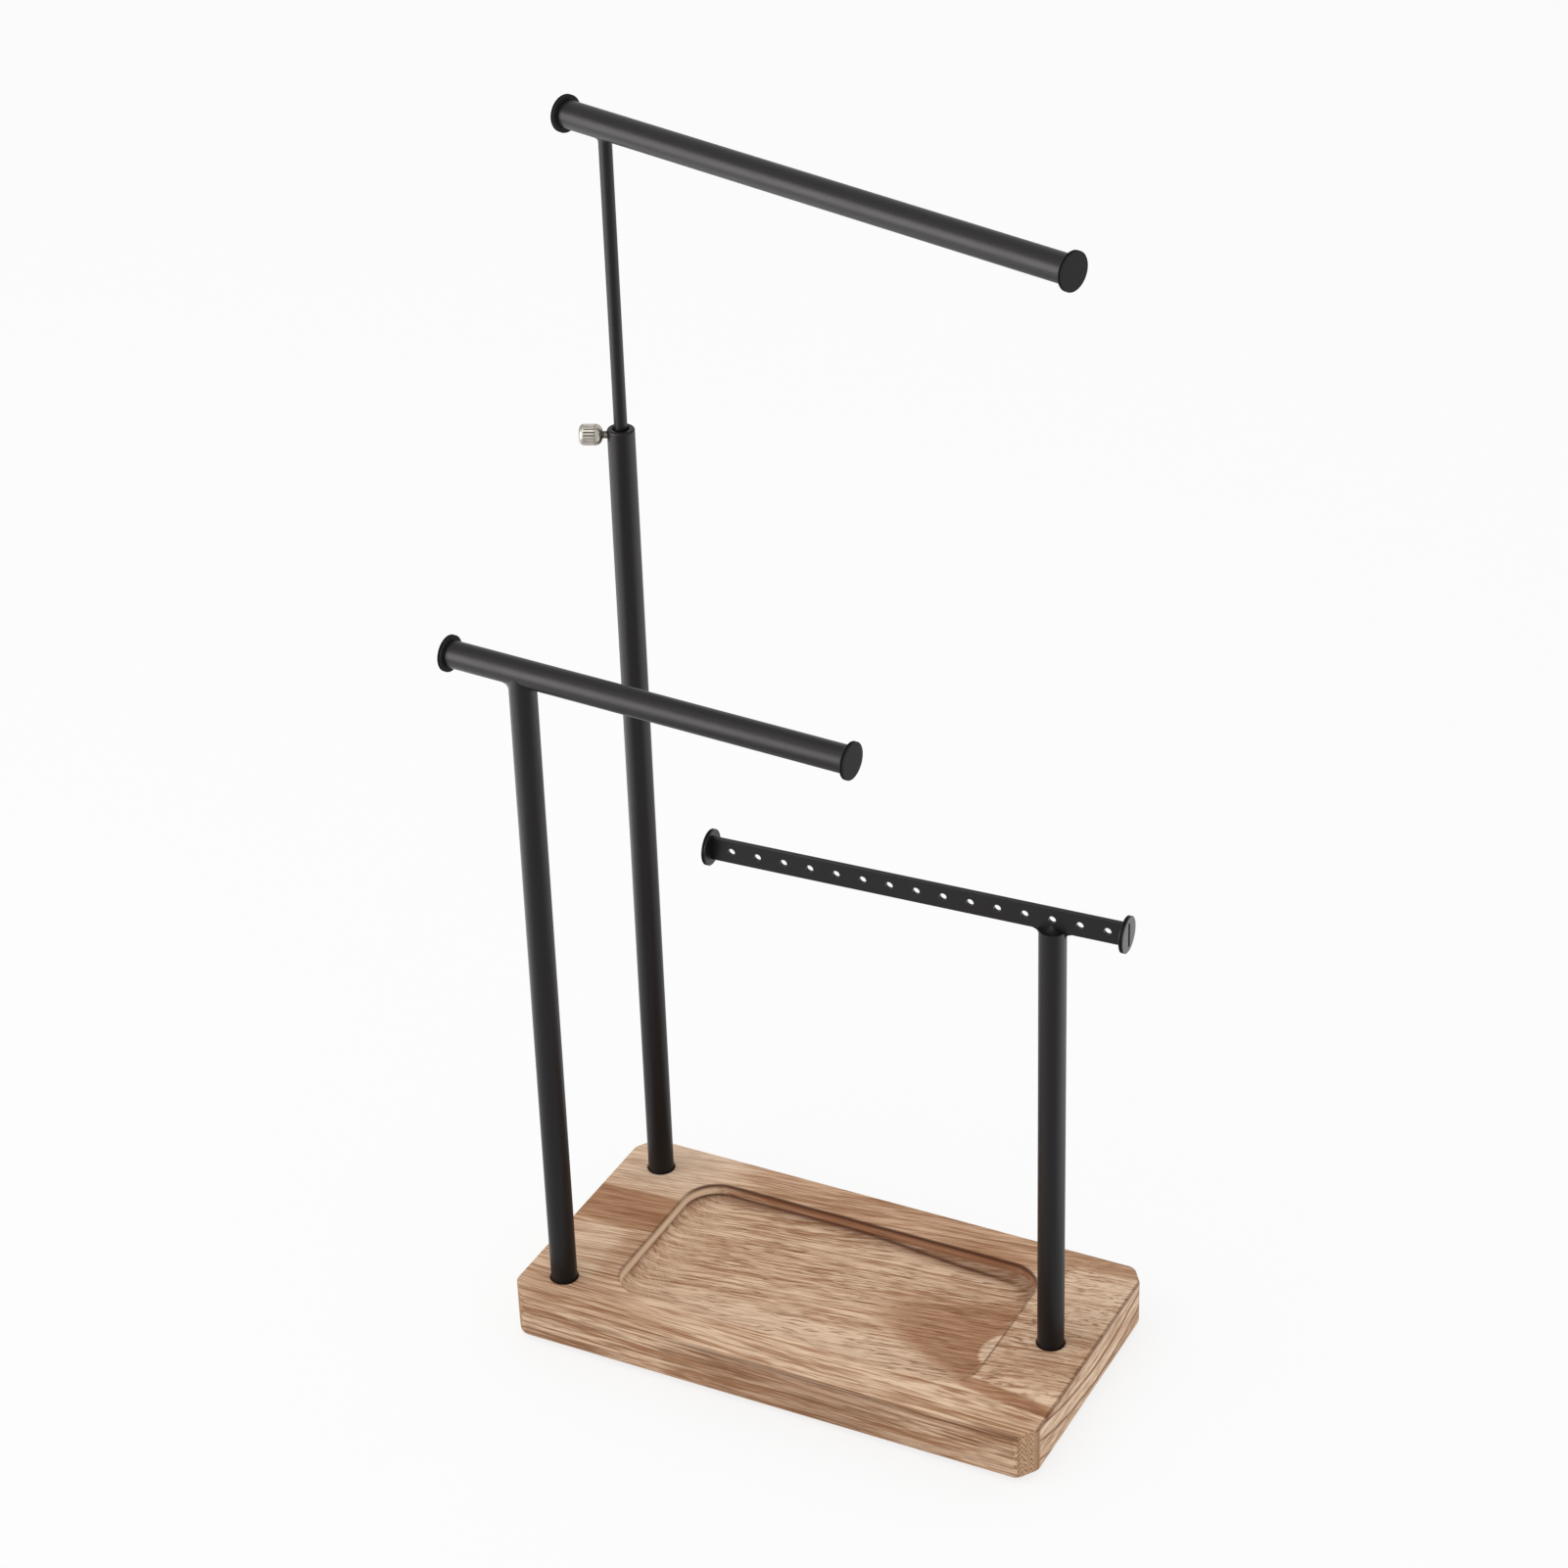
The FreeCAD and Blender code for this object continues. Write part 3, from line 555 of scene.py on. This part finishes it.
finishes = {
    "wood": board_wood(),
    "black_coat": black_metal("black_coat", coat_dark, coat_light, roughness=0.40, shine=0.23),
    "cap_black": black_metal("cap_black", cap_dark, cap_light, roughness=0.72, shine=0.15),
    "nickel": clamp_nickel(),
    "zinc": plated_metal("zinc", zinc_dark, zinc_light, roughness=0.35),
    "glide_plastic": moulded("glide_plastic", plastic_dark, plastic_light, roughness=0.45, grit=0.4),
    "pad_rubber": moulded("pad_rubber", rubber_dark, rubber_light, roughness=0.8, grit=0.25),
}
for part in frame["record"]["subparts"]:
    mesh = nodes[part["node"]].data
    mesh.materials.clear()
    mesh.materials.append(finishes[part["material_slot"]])


def in_scene(name, data):
    """A new object of the scene."""
    made = bpy.data.objects.new(name, data)
    bpy.context.scene.collection.objects.link(made)
    return made


def threaded_stud():
    """The clamp's stud with its thread: a rod whose radius follows a helix, chamfered at its tip."""
    sides = 32
    rings_per_turn = 8
    upright = Vector((0, 0, 1))
    across = upright.cross(screw_axis)
    length = stud_end - stud_tip
    ring_count = round(length / thread_pitch * rings_per_turn)
    form = bmesh.new()
    rings = []
    for step in range(ring_count + 1):
        from_tip = length * step / ring_count
        ring = []
        for side in range(sides):
            turn = side / sides
            phase = (from_tip / thread_pitch - turn) % 1.0
            cut = thread_depth * (1 - abs(2 * phase - 1))
            radius = stud_radius - max(cut, stud_chamfer - from_tip)
            angle = 2 * math.pi * turn
            offset = radius * (math.cos(angle) * across + math.sin(angle) * upright)
            point = screw_start + (stud_tip + from_tip) * screw_axis + offset
            ring.append(form.verts.new(point * millimetre))
        rings.append(ring)
    for first, second in zip(rings, rings[1:]):
        for side in range(sides):
            after = (side + 1) % sides
            form.faces.new((first[side], first[after], second[after], second[side]))
    form.faces.new(reversed(rings[0]))
    form.faces.new(rings[-1])
    mesh = bpy.data.meshes.new("threaded_stud")
    form.to_mesh(mesh)
    form.free()
    mesh.materials.append(finishes["nickel"])
    stud = in_scene("threaded_stud", mesh)
    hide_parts("clamp_stud")
    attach(stud, "clamp_stud")


def seen_directly(start):
    """1 for a ray from the camera or one mirrored or let through by a surface, 0 for light falling on one."""
    path = start.node("LightPath").socket.node
    rays = [Wire(start.tree, path.outputs[f"Is {kind} Ray"]) for kind in ("Camera", "Glossy", "Transmission")]
    return strongest(*rays)


def floor_and_backdrop(glow_share):
    """A wide white disc under the pads, which keeps a faint shadow."""
    mesh = bpy.data.meshes.new("floor")
    form = bmesh.new()
    bmesh.ops.create_circle(form, cap_ends=True, radius=9.0, segments=96)
    form.to_mesh(mesh)
    form.free()
    floor = in_scene("floor", mesh)
    material, shader, start = new_finish("pale_floor", {"Roughness": 0.9, "Specular IOR Level": 0.1})
    x, y, z = place_in_millimetres(start)
    speck = cloud(x / 40.0, y / 40.0, z / 40.0)
    feed(shader, "Base Color", tint(speck, floor_dark, floor_light))
    glow = start.node("Emission", sockets={"Color": white, "Strength": 1.0})
    shaded = Wire(start.tree, shader.outputs["BSDF"])
    mixed = start.node("MixShader", sockets={0: glow_share * seen_directly(start), 1: shaded, 2: glow})
    feed(start.tree.nodes["Material Output"], "Surface", mixed)
    mesh.materials.append(material)


def world_light(ambient):
    """An even white room: as bright as white where it is seen, dimmer where it lights."""
    world = bpy.data.worlds.new("white_room")
    world.use_nodes = True
    bpy.context.scene.world = world
    start = Wire(world.node_tree)
    backdrop = world.node_tree.nodes["Background"]
    backdrop.inputs["Color"].default_value = white
    feed(backdrop, "Strength", ambient + (1 - ambient) * seen_directly(start))


def soft_lamp(name, place, aim, width, height, watts, lights_surfaces=True):
    """A rectangular lamp; one that doesn't light surfaces is only mirrored in them."""
    lamp = bpy.data.lights.new(name, "AREA")
    lamp.shape = "RECTANGLE"
    lamp.size = width
    lamp.size_y = height
    lamp.energy = watts
    holder = in_scene(name, lamp)
    holder.location = place
    holder.rotation_mode = "QUATERNION"
    holder.rotation_quaternion = (Vector(aim) - Vector(place)).to_track_quat("-Z", "Y")
    holder.visible_camera = False
    holder.visible_diffuse = lights_surfaces


def photo_camera():
    """The photograph's own view, for a square picture."""
    camera = bpy.data.cameras.new("photo_view")
    camera.lens = 91.47
    camera.sensor_width = 36.0
    camera.clip_start = 0.01
    camera.clip_end = 100.0
    right = Vector((0.89366, 0.44776, -0.02957))
    up = Vector((-0.20090, 0.45816, 0.86587))
    back = right.cross(up)
    raised = 0.00038
    stand = Vector((0.55163, -1.07685, 0.93558)) + raised * up
    turn = Matrix((right, up, back)).transposed()
    holder = in_scene("photo_view", camera)
    holder.matrix_world = Matrix.Translation(stand) @ turn.to_4x4()
    bpy.context.scene.camera = holder


threaded_stud()
floor_and_backdrop(glow_share=0.8)
world_light(ambient=0.85)
soft_lamp("key", (-0.5, -0.7, 1.6), aim=(0, 0, 0.15), width=1.2, height=1.2, watts=6.0)
soft_lamp("front_card", (-0.95, -1.0, 0.5), aim=(0, 0, 0.35), width=1.3, height=1.0, watts=33.0,
          lights_surfaces=False)
soft_lamp("floor_card", (-0.85, -0.35, 0.003), aim=(-0.85, -0.35, 1), width=1.1, height=1.1, watts=5.6,
          lights_surfaces=False)
soft_lamp("right_card", (0.65, 0.4, 0.003), aim=(0.65, 0.4, 1), width=0.9, height=0.9, watts=3.8,
          lights_surfaces=False)
photo_camera()

bpy.context.scene.view_settings.view_transform = "Standard"
